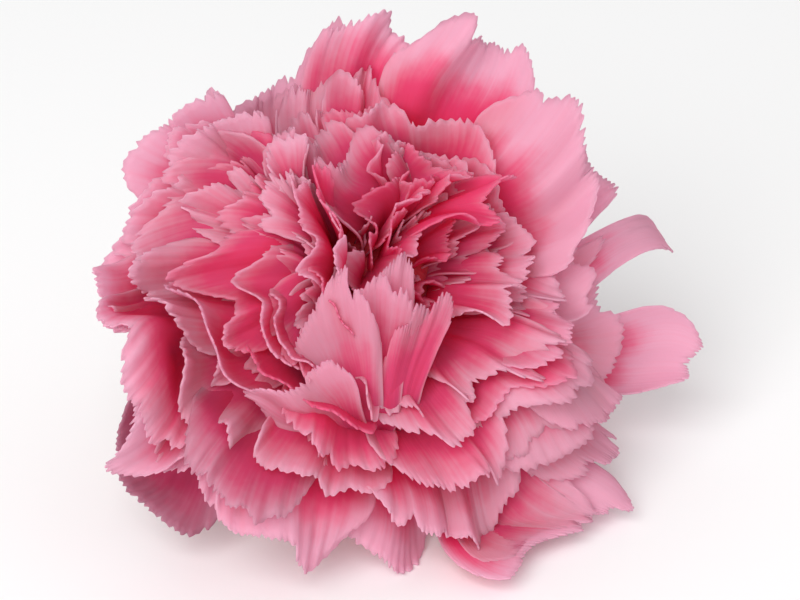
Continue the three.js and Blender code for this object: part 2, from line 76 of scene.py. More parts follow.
# ---- the petals' tissue --------------------------------------------------------------------------
# Soft velvety petal tissue a quarter of a millimetre thick: deep crimson where the petals crowd together,
# rose over the blade and pale at the toothed margin, with fine veins that fan out from the claw.
TISSUE = 0.26
SEE_THROUGH = 0.62          # share of the light that passes through the tissue
SHEEN = 0.18
VEINS = 46                  # veins across a petal
VEIN_CHANGES = 2.2          # how often their pattern changes along it
VEIN_DEPTH = 0.12
VEIN_DARKER = 0.04          # share of the deepest colour in the veins
MOTTLE = 170                # soft blotches per metre
VELVET = 2600               # cells of the velvety surface per metre
ROSE_FROM, ROSE_TO = 0.42, 0.82         # where along the petal crimson turns to rose
PALE_FROM, PALE_TO = 0.79, 1.0          # and where rose turns pale
WANDER_BY_VEIN, WANDER_BY_MOTTLE = 0.018, 0.16      # how far these push the colours' edges
WANDER_BY_TINT = 0.06       # how far a petal's own tint pushes them
TINT_APART = 40.0           # tint moves the veins' pattern, so that no two petals have the same
PAINTED_SHADE_COLOUR = (0.36, 0.075, 0.15)     # painted shade: the dull dark tone given to petals that lie in shade


def link(tree, *pairs):
    for output, target in pairs:
        tree.links.new(output, target)


def node(tree, kind, **values):
    made = tree.nodes.new(kind)
    for name, value in values.items():
        if name in made.inputs:
            made.inputs[name].default_value = value
        else:
            setattr(made, name, value)
    return made


def math_node(tree, operation, a, b=None):
    made = tree.nodes.new("ShaderNodeMath")
    made.operation = operation
    for socket, value in zip(made.inputs, (a, b)):
        if isinstance(value, bpy.types.NodeSocket):
            tree.links.new(value, socket)
        elif value is not None:
            socket.default_value = value
    return made.outputs[0]


def ramp_between(tree, value, low, high, to_low=0.0, to_high=1.0):
    """A smooth step of a value from low to high."""
    made = tree.nodes.new("ShaderNodeMapRange")
    made.interpolation_type = "SMOOTHSTEP"
    tree.links.new(value, made.inputs["Value"])
    for name, number in (("From Min", low), ("From Max", high), ("To Min", to_low), ("To Max", to_high)):
        made.inputs[name].default_value = number
    return made.outputs[0]


def mixed(tree, share, first, second):
    """Two colours mixed; each of the three is a socket or a plain value."""
    made = tree.nodes.new("ShaderNodeMix")
    made.data_type = "RGBA"
    for socket, value in zip((made.inputs[0], made.inputs[6], made.inputs[7]), (share, first, second)):
        if isinstance(value, bpy.types.NodeSocket):
            tree.links.new(value, socket)
        elif isinstance(value, tuple):
            socket.default_value = (*value, 1.0)
        else:
            socket.default_value = value
    return made.outputs[2]


def petal_group():
    """The petals' colour and relief, from the place on the petal and the petal's own tint."""
    tree = bpy.data.node_groups.new("petal_tissue", "ShaderNodeTree")
    for name, kind in (("Reach", "Float"), ("Across", "Float"), ("Tint", "Float"), ("Flush", "Float"),
                       ("Painted_Shade", "Float"), ("Deep", "Color"), ("Rose", "Color"), ("Pale", "Color")):
        tree.interface.new_socket(name, in_out="INPUT", socket_type="NodeSocket" + kind)
    for name, kind in (("Color", "Color"), ("Roughness", "Float"), ("Height", "Float")):
        tree.interface.new_socket(name, in_out="OUTPUT", socket_type="NodeSocket" + kind)
    given = tree.nodes.new("NodeGroupInput").outputs
    wanted = tree.nodes.new("NodeGroupOutput").inputs
    reach, across, tint = given["Reach"], given["Across"], given["Tint"]

    # the veins run along the petal, so their pattern is long in reach and narrow across
    along = tree.nodes.new("ShaderNodeCombineXYZ")
    link(tree, (math_node(tree, "MULTIPLY", across, VEINS / 2), along.inputs[0]),
         (math_node(tree, "MULTIPLY", reach, VEIN_CHANGES), along.inputs[1]),
         (math_node(tree, "MULTIPLY", tint, TINT_APART), along.inputs[2]))
    veins = node(tree, "ShaderNodeTexNoise", Scale=1.0, Detail=2.0, Roughness=0.55)
    link(tree, (along.outputs[0], veins.inputs["Vector"]))
    vein = ramp_between(tree, veins.outputs["Fac"], 0.36, 0.66)

    place = tree.nodes.new("ShaderNodeTexCoord").outputs["Object"]
    mottle = node(tree, "ShaderNodeTexNoise", Scale=MOTTLE, Detail=3.0, Roughness=0.6)
    velvet = node(tree, "ShaderNodeTexNoise", Scale=VELVET, Detail=1.0, Roughness=0.5)
    link(tree, (place, mottle.inputs["Vector"]), (place, velvet.inputs["Vector"]))

    # the colour's edge wanders with the veins and the blotches
    wander = math_node(tree, "ADD", math_node(tree, "MULTIPLY", vein, WANDER_BY_VEIN),
                       math_node(tree, "MULTIPLY", mottle.outputs["Fac"], WANDER_BY_MOTTLE))
    wander = math_node(tree, "SUBTRACT", wander, (WANDER_BY_VEIN + WANDER_BY_MOTTLE) / 2)
    shifted = math_node(tree, "ADD", reach, wander)
    shifted = math_node(tree, "ADD", shifted, math_node(tree, "MULTIPLY", tint, WANDER_BY_TINT))
    shifted = math_node(tree, "SUBTRACT", shifted, given["Flush"])
    colour = mixed(tree, ramp_between(tree, shifted, ROSE_FROM, ROSE_TO), given["Deep"], given["Rose"])
    colour = mixed(tree, ramp_between(tree, shifted, PALE_FROM, PALE_TO), colour, given["Pale"])
    darker = ramp_between(tree, veins.outputs["Fac"], 0.30, 0.60, VEIN_DARKER, 0.0)
    colour = mixed(tree, darker, colour, given["Deep"])
    # painted shade: a petal that lies in shade is darkened towards a dull tone
    colour = mixed(tree, given["Painted_Shade"], colour, PAINTED_SHADE_COLOUR)
    link(tree, (colour, wanted["Color"]),
         (ramp_between(tree, vein, 0.0, 1.0, 0.52, 0.64), wanted["Roughness"]))
    height = math_node(tree, "ADD", math_node(tree, "MULTIPLY", vein, 0.7),
                       math_node(tree, "MULTIPLY", velvet.outputs["Fac"], 0.3))
    link(tree, (height, wanted["Height"]))
    return tree


tissue_group = petal_group()


def petal_material(name, deep, rose, pale, see_through=SEE_THROUGH, flush=0.0):
    """The tissue in its three colours; flush moves their edges towards the margin."""
    made = bpy.data.materials.new(name)
    made.use_nodes = True
    tree = made.node_tree
    tree.nodes.clear()
    tissue = tree.nodes.new("ShaderNodeGroup")
    tissue.node_tree = tissue_group
    for label, colour in (("Deep", deep), ("Rose", rose), ("Pale", pale)):
        tissue.inputs[label].default_value = (*colour, 1.0)
    tissue.inputs["Flush"].default_value = flush
    for label in ("Reach", "Across", "Tint", "Painted_Shade"):
        stored = node(tree, "ShaderNodeAttribute", attribute_name=label.lower())
        link(tree, (stored.outputs["Fac"], tissue.inputs[label]))
    relief = node(tree, "ShaderNodeBump", Strength=0.35, Distance=VEIN_DEPTH * MM)
    body = tree.nodes.new("ShaderNodeBsdfPrincipled")
    body.inputs["Specular IOR Level"].default_value = SHEEN
    glow = tree.nodes.new("ShaderNodeBsdfTranslucent")
    both = node(tree, "ShaderNodeMixShader", Fac=see_through)
    out = tree.nodes.new("ShaderNodeOutputMaterial")
    link(tree, (tissue.outputs["Height"], relief.inputs["Height"]),
         (tissue.outputs["Color"], body.inputs["Base Color"]),
         (tissue.outputs["Roughness"], body.inputs["Roughness"]),
         (relief.outputs[0], body.inputs["Normal"]),
         (tissue.outputs["Color"], glow.inputs["Color"]),
         (body.outputs[0], both.inputs[1]), (glow.outputs[0], both.inputs[2]),
         (both.outputs[0], out.inputs["Surface"]))
    return made


OUTER_FLUSH, HEART_FLUSH = 0.035, 0.06
outer_sides = (
    petal_material("outer_upper_side", (0.96, 0.008, 0.11), (0.90, 0.085, 0.27), (0.92, 0.60, 0.73),
                   flush=OUTER_FLUSH),
    petal_material("outer_under_side", (0.94, 0.02, 0.12), (0.89, 0.12, 0.31), (0.91, 0.56, 0.69),
                   flush=OUTER_FLUSH),
)
heart_sides = (
    petal_material("heart_upper_side", (0.95, 0.008, 0.12), (0.90, 0.08, 0.27), (0.91, 0.52, 0.67),
                   flush=HEART_FLUSH),
    petal_material("heart_under_side", (0.93, 0.015, 0.13), (0.89, 0.12, 0.31), (0.90, 0.50, 0.64),
                   flush=HEART_FLUSH),
)


# ---- how a petal grows ---------------------------------------------------------------------------
# A petal is a fan that leaves the calyx's mouth upright and reclines along its length; its blade waves and
# frills towards a toothed margin. Crowded in the bud, all petals were crumpled together by the same folds.
WHOLE_TURN = 6.28
TOOTH_PITCH = 2.3          # measured along the folded margin
SMALL_TEETH = 0.75         # share of the teeth that are cut less than 1 mm deep
CLEFTS = 3                 # wider cuts in each petal's margin
SHALLOWER = 0.35           # share by which all cuts are shallower at a petal's sides
ROUND = 0.75               # how round the two shoulders of a petal are
OUTLINE = {"drop": 0.22, "shape": 3.0}      # how far its sides fall back, and how suddenly
SKEWED = 1.2               # how far the folds turn along a petal
OVERTONE = 0.28            # a small second wave in each petal's folds
SWELLS = 2.3               # half waves in which the frills swell and fade across a petal
CURL_FROM, FRILL_FROM = 0.4, 0.6        # shares of a petal's length where its curl and its frills begin
FANNED = 1.15              # a petal has its full spread at 1 / FANNED of its length
ACROSS = 121               # columns of a petal's mesh, which draw its teeth
ALONG = 27                 # rows of a petal's mesh
ROW_CROWDING = 0.9         # rows stand closer near the margin


class Draw:
    """Random numbers that are the same on every run: the Park-Miller generator."""
    FACTOR, MODULUS = 16807, 2147483647
    DROPPED = 3            # the first numbers of small seeds are too much alike

    def __init__(self, seed):
        self.state = seed
        for _ in range(self.DROPPED):
            self()

    def __call__(self, low=0.0, high=1.0):
        self.state = self.state * self.FACTOR % self.MODULUS
        return low + (high - low) * self.state / self.MODULUS


def smooth(x):
    x = np.clip(x, 0, 1)
    return x * x * (3 - 2 * x)


def rising(x, start, end):
    """A smooth step from 0 at the start to 1 at the end."""
    return smooth((x - start) / (end - start))


WAVE_COUNT = 6


def waves(seed, shortest, longest, least, most, tip):
    """Shear waves, by shortest and longest period, least and most shear, and how far their fronts tip."""
    draw = Draw(seed)
    made = []
    for _ in range(WAVE_COUNT):
        rise = tip * draw(-1, 1)
        turn = draw(0, 2 * math.pi)
        along = np.array([math.cos(turn), math.sin(turn), rise])
        along /= np.linalg.norm(along)
        push = np.array([draw(-1, 1), draw(-1, 1), draw(-1, 1)])
        push -= push @ along * along
        push /= np.linalg.norm(push)
        period = draw(shortest, longest)
        shear = draw(least, most)
        made.append((along * 2 * math.pi / period, push * shear * period, draw(0, 2 * math.pi)))
    return made


broad_waves = waves(11, 22, 36, 0.05, 0.08, 0.6)
tight_waves = waves(63, 15, 23, 0.045, 0.08, 0.35)
BROAD_GROWS = (6, 26)                  # distances from the mouth at which the waves begin and are full
TIGHT_GROWS = (8, 22)
TIGHT_FADES, TIGHT_LOST = (8, 24), 0.72     # distances from the axis, and the share lost between them

# ruffles: all petals lean in and out together as they go round, the more the nearer to their margins, and
# the least on the smooth side; each has its count round the bloom, size, phase and turn per millimetre
RUFFLES = [(11, 2.4, 0.9, 0.05), (17, 2.4, 2.1, -0.06), (7, 1.6, 4.2, 0.04), (24, 1.8, 5.2, 0.08)]
RUFFLE_FAR, RUFFLE_OUT = (12, 36), (6, 28)      # where they grow, by distance from mouth and axis
SMOOTH_SIDE, LEAST_RUFFLE = math.radians(-35), 0.3
CALM = np.array([-8, -18, 22])         # where folds are softest
CALM_SIZE, CALMED = 13, 0.8            # how far round, and by how much
CALM_SIDE = math.radians(-12)          # where the petals' own frills are slightest
LEAN_GROWS = 14                        # distance from the mouth at which a whorl has its full lean


def calm(points):
    return 1 - CALMED * np.exp(-((points - CALM) ** 2).sum(-1) / (2 * CALM_SIZE ** 2))


def ruffled(points):
    """Ruffles turn points about the mouth by a small angle towards or away from the axis."""
    x, y, z = np.moveaxis(points, -1, 0)
    out, far, turn = np.hypot(x, y), np.linalg.norm(points, axis=-1), np.arctan2(y, x)
    lean = sum(size * np.sin(count * turn + phase + swirl * far) for count, size, phase, swirl in RUFFLES)
    lean = lean * (LEAST_RUFFLE + (1 - LEAST_RUFFLE) * (1 - np.cos(turn - SMOOTH_SIDE)) / 2)
    lean = np.radians(lean) * rising(far, *RUFFLE_FAR) * rising(out, *RUFFLE_OUT) * calm(points)
    tilt = np.arctan2(out, z) + lean
    out = far * np.sin(tilt)
    return np.stack([out * np.cos(turn), out * np.sin(turn), far * np.cos(tilt)], -1)


def crumpled(points):
    """Shear waves: they fold all petals alike, so that none crosses its neighbour."""
    soft = calm(points)
    for along, push, phase in broad_waves:
        share = rising(np.linalg.norm(points, axis=-1), *BROAD_GROWS) * soft
        points = points + push * (np.sin(points @ along + phase) * share)[..., None]
    for along, push, phase in tight_waves:
        rim = 1 - TIGHT_LOST * rising(np.hypot(points[..., 0], points[..., 1]), *TIGHT_FADES)
        share = rising(np.linalg.norm(points, axis=-1), *TIGHT_GROWS) * rim * soft
        points = points + push * (np.sin(points @ along + phase) * share)[..., None]
    return points


def leaned(points, lean, azimuth):
    """A side whorl's points, turned about the mouth so that its own axis leans towards an azimuth."""
    angle = lean * smooth(np.linalg.norm(points, axis=-1) / LEAN_GROWS)
    ahead = points[..., 0] * math.cos(azimuth) + points[..., 1] * math.sin(azimuth)
    aside = points[..., 1] * math.cos(azimuth) - points[..., 0] * math.sin(azimuth)
    z = points[..., 2] * np.cos(angle) - ahead * np.sin(angle)
    ahead = ahead * np.cos(angle) + points[..., 2] * np.sin(angle)
    x = ahead * math.cos(azimuth) - aside * math.sin(azimuth)
    return np.stack([x, ahead * math.sin(azimuth) + aside * math.cos(azimuth), z], -1)


def frilled(draw, frills, frill, **petal):
    """A petal's dimensions with its random phases and its fine frills, in half waves and degrees."""
    calmer = 1 - petal.get("calmed", 0) * max(0.0, math.cos(petal["azimuth"] - CALM_SIDE))
    return dict(
        petal, phase=draw(0, WHOLE_TURN), skew=draw(-1, 1), frills=draw(*frills),
        frill=draw(*frill) * calmer, ripple=draw(0, WHOLE_TURN),
    )


def teeth(draw, count):
    """An irregular toothed margin: places across the petal and how deep it is cut there."""
    places, depths, x = [-1.0], [0.0], -1.0
    while x < 1:
        wide = draw(0.7, 1.35) * 2 / count
        deep = draw(0.4, 1.0) if draw() < SMALL_TEETH else draw(1.0, 1.5)
        places += [x + wide * draw(0.25, 0.5), x + wide]
        depths += [deep, draw(0, 0.2)]
        x += wide
    clefts = [(draw(-0.85, 0.85), draw(0.8, 2.6), draw(0.05, 0.12)) for _ in range(CLEFTS)]
    return places, depths, clefts


def margin_cut(u, cut):
    """How much shorter than its plain outline teeth and clefts leave a petal."""
    places, depths, clefts = cut
    short = np.interp(u, places, depths)
    for place, deep, wide in clefts:
        short = short + deep * np.exp(-((u - place) / wide) ** 2)
    return short


def petal_surface(p, cut):
    """The petal's middle surface in the flower frame, with its place across and along the petal."""
    u = np.linspace(-1, 1, ACROSS)
    across, v = np.meshgrid(u, np.linspace(0, 1, ALONG) ** ROW_CROWDING)
    lobe = p["lobe"] * np.cos(p["folds"] * math.pi * u + p["phase"])
    reach = p["length"] * (1 - p["drop"] * np.abs(u) ** p["shape"] + lobe)
    reach = reach * np.sqrt(1 - ROUND * np.abs(u) ** 8)
    reach = reach - margin_cut(u, cut) * (1 - SHALLOWER * np.abs(u) ** 3)
    s = v * reach
    f = s / p["length"]
    wave = p["folds"] * math.pi * across + p["phase"] + SKEWED * (f - 1) * p["skew"]
    fold = p["fold"] * f ** 3 * (np.sin(wave) + OVERTONE * np.cos(2 * wave))
    ripple = np.sin(p["frills"] * math.pi * across + p["ripple"] + 2 * np.sin(3 * across + p["phase"]))
    ripple = ripple * (0.6 + 0.4 * np.sin(SWELLS * math.pi * across + 2 * p["ripple"]))
    frill = p["frill"] * np.maximum((f - FRILL_FROM) / (1 - FRILL_FROM), 0) ** 2 * ripple
    bent = p["rise"] + (p["recline"] - p["rise"]) * smooth((s - p.get("straight", 0)) / p["bend"])
    bent = bent + f * (p["twist"] * across + p["cup"] * across ** 2)
    bent = bent + p["curl"] * np.maximum((f - CURL_FROM) / (1 - CURL_FROM), 0) ** 2 + fold + frill
    angle = np.radians(bent)
    step = np.diff(s, axis=0)
    middle = 0.5 * (angle[1:] + angle[:-1])
    start = np.zeros((1, ACROSS))
    out = p["root"] + np.vstack([start, np.cumsum(np.sin(middle) * step, axis=0)])
    height = np.vstack([start, np.cumsum(np.cos(middle) * step, axis=0)])
    spread = p["base"] + (p["fan"] - p["base"]) * smooth(f * FANNED)
    turn = p["azimuth"] + spread * across + p["sweep"] * f * f
    points = np.stack([out * np.cos(turn), out * np.sin(turn), height], axis=-1)
    points = leaned(points, *p.get("whorl", (0, 0)))
    return crumpled(ruffled(points)).reshape(-1, 3), across.ravel(), v.ravel()


PRESS = 1.0        # how far above its resting height a petal begins to bend, to lie along the table


def pressed(points, rest):
    """Points that would sink below the resting height stay just above it, along the table."""
    low = points[:, 2] < rest + PRESS
    points[low, 2] = rest + PRESS * np.exp((points[low, 2] - rest - PRESS) / PRESS)
    return points


def give_attribute(mesh, name, values):
    mesh.attributes.new(name, "FLOAT", "POINT").data.foreach_set("value", np.asarray(values, np.float32))


def modified(piece, kind, **settings):
    bpy.ops.object.modifier_add(type=kind)
    modifier = piece.modifiers[-1]
    for name, value in settings.items():
        setattr(modifier, name, value)
    bpy.ops.object.modifier_apply(modifier=modifier.name)


TEETH_SEED, SEED_STEP = 900, 7919      # of the first petal's teeth and tint, and from petal to petal


def petal_piece(name, p, rest, number, sides):
    """A petal as a thin closed mesh; its number seeds the draws of its teeth and its tint."""
    bpy.ops.object.select_all(action="DESELECT")
    bpy.ops.mesh.primitive_grid_add(x_subdivisions=ACROSS - 1, y_subdivisions=ALONG - 1, size=2)
    petal = bpy.context.object
    petal.name = petal.data.name = name
    draw = Draw(TEETH_SEED + number * SEED_STEP)
    margin = petal_surface(p, ([-1, 1], [0, 0], []))[0][-ACROSS:]
    width = np.linalg.norm(np.diff(margin, axis=0), axis=1).sum()
    points, across, reach = petal_surface(p, teeth(draw, width / TOOTH_PITCH))
    petal.data.vertices.foreach_set("co", (pressed(laid(points), rest) * MM).ravel())
    give_attribute(petal.data, "across", across)
    give_attribute(petal.data, "reach", reach)
    give_attribute(petal.data, "tint", np.full(len(reach), draw(-1, 1) + p.get("paler", 0)))
    # painted shade: how far this petal is darkened for lying in shade
    give_attribute(petal.data, "painted_shade", np.full(len(reach), p.get("painted_shade", 0)))
    for side in sides:
        petal.data.materials.append(side)
    modified(petal, "SOLIDIFY", thickness=TISSUE * MM, offset=0, material_offset=1)
    bpy.ops.object.shade_smooth()
    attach(petal, "root")
    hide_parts("bloom")


# ---- the inner petals ----------------------------------------------------------------------------
# Between heart and rim the petals stand in a golden-angle spiral and recline the more the further out they
# are. Towards the open side they are shorter and more upright. They rest on one another, above the table.
GOLDEN = math.radians(137.508)
INNER_SEED = 19
FIRST, LAST, SPAN = 26, 45, 56        # numbers of the first and last petal, and of one that would lie flat
OPEN_SIDE, OPEN_UPRIGHT = math.radians(52), 0.42
HIGH_REST = 8                         # the inner petals never reach lower than this above the table


def inner_petal(draw, number):
    t = number / SPAN
    azimuth = number * GOLDEN + draw(-0.2, 0.2)
    opened = max(0.0, math.cos(azimuth - OPEN_SIDE))
    end = (5 + 90 * t ** 0.8 + draw(-6, 6)) * (1 - OPEN_UPRIGHT * opened * min(1, 2 * t))
    curled = (6 + 30 * min(1, 2.2 * t) - 8 * t) * (1 - 0.75 * opened)
    curl = curled + draw(-8, 8) * (1 - 0.75 * opened)
    cut = opened * (9 * float(smooth(2 * t)) - 4 * float(smooth(3 * t - 2)))
    length = 25 + 13 * t ** 0.8 + draw(-1.5, 1.5) - cut
    root = 0.8 + 5.6 * math.sqrt(t)
    out = root + 0.9 * length * math.sin(math.radians(min(max(end, 8), 90)))
    return frilled(
        draw, (8, 13), (4, 8), azimuth=azimuth, length=length, root=root, curl=curl, rise=2 + 4 * t,
        recline=end - 0.62 * curled, bend=20 - 9 * t,
        fan=min((11 + 7.5 * t + draw(-1.5, 2.5)) / out, 1.45), base=min(1.6 / root, 1.0),
        cup=draw(-6, 1), twist=draw(-5, 5), sweep=draw(-0.25, 0.25), folds=draw(1.4, 3.2),
        fold=draw(6, 12), **OUTLINE, lobe=0.04, calmed=0.7,
    )


inner_draw = Draw(INNER_SEED)
for number in range(FIRST, LAST + 1):
    petal_piece(f"inner_petal_{number}", inner_petal(inner_draw, number), HIGH_REST, number, outer_sides)


# ---- the heart -----------------------------------------------------------------------------------
# The heart holds two whorls of deeper coloured petals that lean apart. In front of them a few petals still
# close over the heart like a bud, in a nest of broad ones. On its far side short frilled petals fringe it.
HEART_SEEDS = {"whorls": 41, "bud": 5, "nest": 23, "fringe": 31}
NEST_SIDE, NEST_SHORT = math.radians(-98), 0.26        # towards the nest the whorls' petals are shorter
# lean, azimuth, petals, shortest and longest petal, widest half width, spread
WHORLS = [
    (8, 0, 15, 23, 30, 9, 40),
    (30, 138, 14, 25, 34, 10, 44),
]
# these run out straight, towards BUD_AZIMUTH, then turn back over the heart
BUD_LEAN, BUD_AZIMUTH = math.radians(62), math.radians(-92)
# turn, recline, straight stretch, bend, length, half width, folds, depth of the folds, how much paler
BUD = [
    (104, 134, 24, 13, 53, 4.5, 1.0, 5, 1.0),
    (84, 122, 22, 14, 46, 4.5, 1.4, 7, 0.5),
    (122, 120, 22, 15, 51, 5, 1.6, 8, 2.0),
    (100, 120, 20, 15, 46, 7, 1.6, 8, 1.0),
    (146, 96, 22, 15, 46, 7, 1.8, 8, 2.4),
]
# these stand in one another like bowls: they lean out first and are upright at the margin
# azimuth, recline, length, half width, curl, folds, depth of the folds
NEST = [
    (-138, 50, 34, 12, -28, 1.0, 2),
    (-155, 52, 35, 14, -28, 1.2, 3),
    (-126, 58, 36, 15, -28, 1.1, 2.5),
    (-146, 66, 38, 16, -26, 1.4, 3),
    (-94, 72, 28.5, 9, -20, 1.0, 2),
    (-50, 60, 34, 14, -26, 1.2, 3),
    (-28, 52, 33, 13, -24, 1.4, 4),
    (-64, 70, 34, 15, -22, 1.4, 3),
    (178, 34, 32, 10, -8, 1.6, 6),
    (-166, 26, 31, 10, -6, 1.4, 6),
    (-142, 32, 31, 10, -8, 1.5, 5),
    (158, 28, 31, 9, -6, 1.7, 7),
]
FRINGE, FRINGE_FROM, FRINGE_TURN = 24, math.radians(106), math.radians(140)
RATIO = (math.sqrt(5) - 1) / 2                         # spreads the fringe's petals evenly over its turn


def whorl_petal(draw, number, lean, azimuth, count, shortest, longest, widest, spread):
    t = (number + 0.6) / count
    turn = number * GOLDEN + draw(-0.2, 0.2)
    end = 4 + spread * t ** 0.9 + draw(-3, 3)
    curl = 8 + 22 * t + draw(-8, 8)
    length = shortest + (longest - shortest) * t + draw(-1.5, 1.5)
    length *= 1 - NEST_SHORT * max(0.0, math.cos(turn - NEST_SIDE))
    root = 0.6 + 2.2 * math.sqrt(t)
    out = root + 0.6 * length * math.sin(math.radians(max(end, 8)))
    return frilled(
        draw, (5, 8), (6, 12), azimuth=turn, length=length, root=root, curl=curl, rise=2, recline=end,
        bend=21, fan=min((widest * (0.6 + 0.4 * t) + draw(-1.5, 1.5)) / out, 1.5),
        base=min(1.6 / root, 1.0), cup=draw(-3, 1), twist=draw(-2, 2), sweep=draw(-0.15, 0.15),
        folds=draw(1.4, 3.0), fold=draw(8, 14), **OUTLINE, lobe=0.04,
        whorl=(math.radians(lean), math.radians(azimuth)),
    )


def bud_petal(draw, turn, recline, straight, bend, length, width, folds, fold, paler):
    return frilled(
        draw, (5, 8), (2, 4), azimuth=math.radians(turn), length=length, root=2.6, curl=0, rise=0,
        recline=recline, bend=bend, straight=straight, fan=width / 12, base=0.5, cup=0, twist=0, sweep=0,
        folds=folds, fold=fold, **OUTLINE, lobe=0.04, whorl=(BUD_LEAN, BUD_AZIMUTH),
        paler=paler,
    )


def nest_petal(draw, azimuth, recline, length, width, curl, folds, fold):
    out = 4 + 0.85 * length * math.sin(math.radians(recline + 0.3 * curl))
    return frilled(
        draw, (4, 7), (1.5, 3.5), azimuth=math.radians(azimuth), length=length, root=4, curl=curl, rise=6,
        recline=recline, bend=12, fan=width / out, base=0.4, cup=0, twist=draw(-3, 3),
        sweep=draw(-0.1, 0.1), folds=folds, fold=fold, **OUTLINE, lobe=0.03,
    )


def fringe_petal(draw, number):
    t = (number + 0.5) / FRINGE
    recline, length = 36 + 38 * t, 26 + 8 * t + draw(-1.5, 1.5)
    out = 4.5 + 0.8 * length * math.sin(math.radians(recline))
    return frilled(
        draw, (4, 6), (10, 17), azimuth=FRINGE_FROM + FRINGE_TURN * (number * RATIO % 1), length=length,
        root=4.5, curl=14, rise=4, recline=recline, bend=15, fan=draw(7.5, 10.5) / out, base=0.35,
        cup=draw(-3, 1), twist=draw(-4, 4), sweep=draw(-0.2, 0.2), folds=draw(1.4, 2.6), fold=draw(7, 12),
        **OUTLINE, lobe=0.04,
    )


whorl_draw, bud_draw, nest_draw, fringe_draw = (Draw(seed) for seed in HEART_SEEDS.values())
heart = []
for w, whorl in enumerate(WHORLS):
    for k in range(whorl[2]):
        heart.append((f"whorl_{w + 1}_petal_{k + 1:02d}", whorl_petal(whorl_draw, k, *whorl)))
heart += [(f"bud_petal_{k + 1}", bud_petal(bud_draw, *row)) for k, row in enumerate(BUD)]
heart += [(f"nest_petal_{k + 1:02d}", nest_petal(nest_draw, *row)) for k, row in enumerate(NEST)]
for k, (name, spec) in enumerate(heart):
    petal_piece(name, spec, HIGH_REST, 100 + k, heart_sides)
for k in range(FRINGE):
    petal_piece(f"fringe_petal_{k + 1:02d}", fringe_petal(fringe_draw, k), HIGH_REST, 200 + k, outer_sides)


# ---- the outer petals ----------------------------------------------------------------------------
# Twenty-two guard petals make the rim. Two of them are narrow: a strap that sticks out flat and a rolled
# one below it. The recurved petals stand between guards and heart, and bend back over the guards.
OUTER_SEED = 77
ROOT_RADIUS = 6.4          # the ring in which they stand
# azimuth, recline, length, half width, curl, cup, folds, depth of the folds
GUARDS = [
    (95, 62, 37, 14, 2, -4, 2.4, 6),
    (71, 54, 42.5, 13.5, 0, -3, 2.2, 5),
    (36, 48, 40, 19.5, 0, -4, 0.8, 3),
    (16, 58, 36, 16, 0, -4, 1.1, 3),
    (27, 78, 37.5, 13, 4, 0, 2.2, 6),
    (17, 92, 46, 5.2, 22, 0, 0.5, 1),        # the strap petal
    (-4, 76, 35.5, 14, 10, 0, 2.0, 5),
    (-6, 88, 52, 5.8, 0, -20, 1.6, 4),         # the rolled petal
    (-22, 86, 35.5, 15, 8, 0, 1.8, 5),
    (-38, 74, 37.5, 17, 14, 0, 1.2, 3),
    (-50, 88, 48.5, 13, 2, -6, 1.3, 4),
    (-61, 84, 51, 14, 6, -5, 1.5, 4),
    (-92, 88, 38.5, 17, 6, -5, 1.5, 4),
    (-112, 84, 44, 17, 14, 0, 2.2, 6),
    (-138, 100, 43.5, 16, 0, 2, 1.2, 4),
    (-122, 78, 45, 16, 20, 0, 2.6, 7),
    (-153, 80, 46.5, 17, 16, 0, 2.4, 6),
    (-172, 84, 36, 16, 12, 0, 2.6, 7),
    (165, 76, 34.5, 16, 14, 0, 2.4, 5),
    (150, 80, 36.5, 17, 8, 0, 2.0, 6),
    (130, 70, 32, 17, 8, -2, 1.8, 6),
    (113, 68, 33, 17, 4, -3, 2.2, 7),
]
RECURVED = [
    (-147, 84, 47, 13, 12, 2, 2.2, 6),
    (-56, 84, 49, 13, 8, -3, 1.6, 5),
    (-146, 86, 41, 14, 12, 4, 2.6, 8),
    (-126, 86, 41, 14, 14, 4, 2.6, 8),
    (-166, 80, 40, 14, 16, 2, 2.6, 8),
    (-28, 72, 37, 14, 14, 0, 2.0, 5),
    (-60, 78, 38, 14, 18, 0, 2.4, 7),
    (-84, 76, 37, 14, 20, 0, 2.4, 7),
    (-108, 72, 37, 14, 22, 0, 2.6, 7),
    (-136, 76, 38, 15, 22, 0, 2.6, 7),
    (-162, 70, 36, 14, 22, 0, 2.6, 7),
    (176, 72, 34.5, 14, 20, 0, 2.4, 6),
    (152, 68, 34, 13, 14, 0, 2.0, 6),
    (-44, 73, 34.5, 14, 20, -2, 0.9, 4),
    (-33, 84, 42, 13, 6, -6, 1.0, 4),
]
STRAP_WIDTH, STRAP_SWEEP = 5.5, -0.12        # a petal narrower than this bends sideways
FRILLY_SIDE = math.radians(120)              # where the rim is frilled most
PALE = 1.2                                   # how much paler than the rest of the bloom they are
PALE_SIDE, PALER = math.radians(22), 2.6     # where they are palest, and by how much more
# how far painted shade darkens these petals, which lie in shade under the bloom or at its far side
PAINTED_SHADE_SHARES = {"guard_petal_15": 0.5, "guard_petal_16": 0.25, "guard_petal_21": 0.12, "guard_petal_22": 0.12}
FIRST_REST = 0.14          # the middle of the lowest petal's tissue above the table
REST_STEP = 0.3            # and how much higher each next petal rests that is pressed to it


def outer_petal(draw, azimuth, recline, length, width, curl, cup, folds, fold):
    out = ROOT_RADIUS + 0.9 * length * math.sin(math.radians(min(recline, 90)))
    frilly = max(0.0, math.cos(math.radians(azimuth) - FRILLY_SIDE))
    paler = PALE + PALER * max(0.0, math.cos(math.radians(azimuth) - PALE_SIDE)) ** 2
    sweep = draw(-0.05, 0.05) if width > STRAP_WIDTH else STRAP_SWEEP
    return frilled(
        draw, (0.7 * width, 1.1 * width), (3.5, 6 + 5 * frilly), azimuth=math.radians(azimuth),
        length=length, root=ROOT_RADIUS, curl=curl, cup=cup, folds=folds, fold=fold, rise=6,
        recline=recline - 0.4 * curl, bend=10, fan=width / out, base=0.25, twist=4, sweep=sweep,
        drop=0.26, shape=3.2, lobe=0.02 + 0.03 * frilly, calmed=0.85, paler=paler,
    )


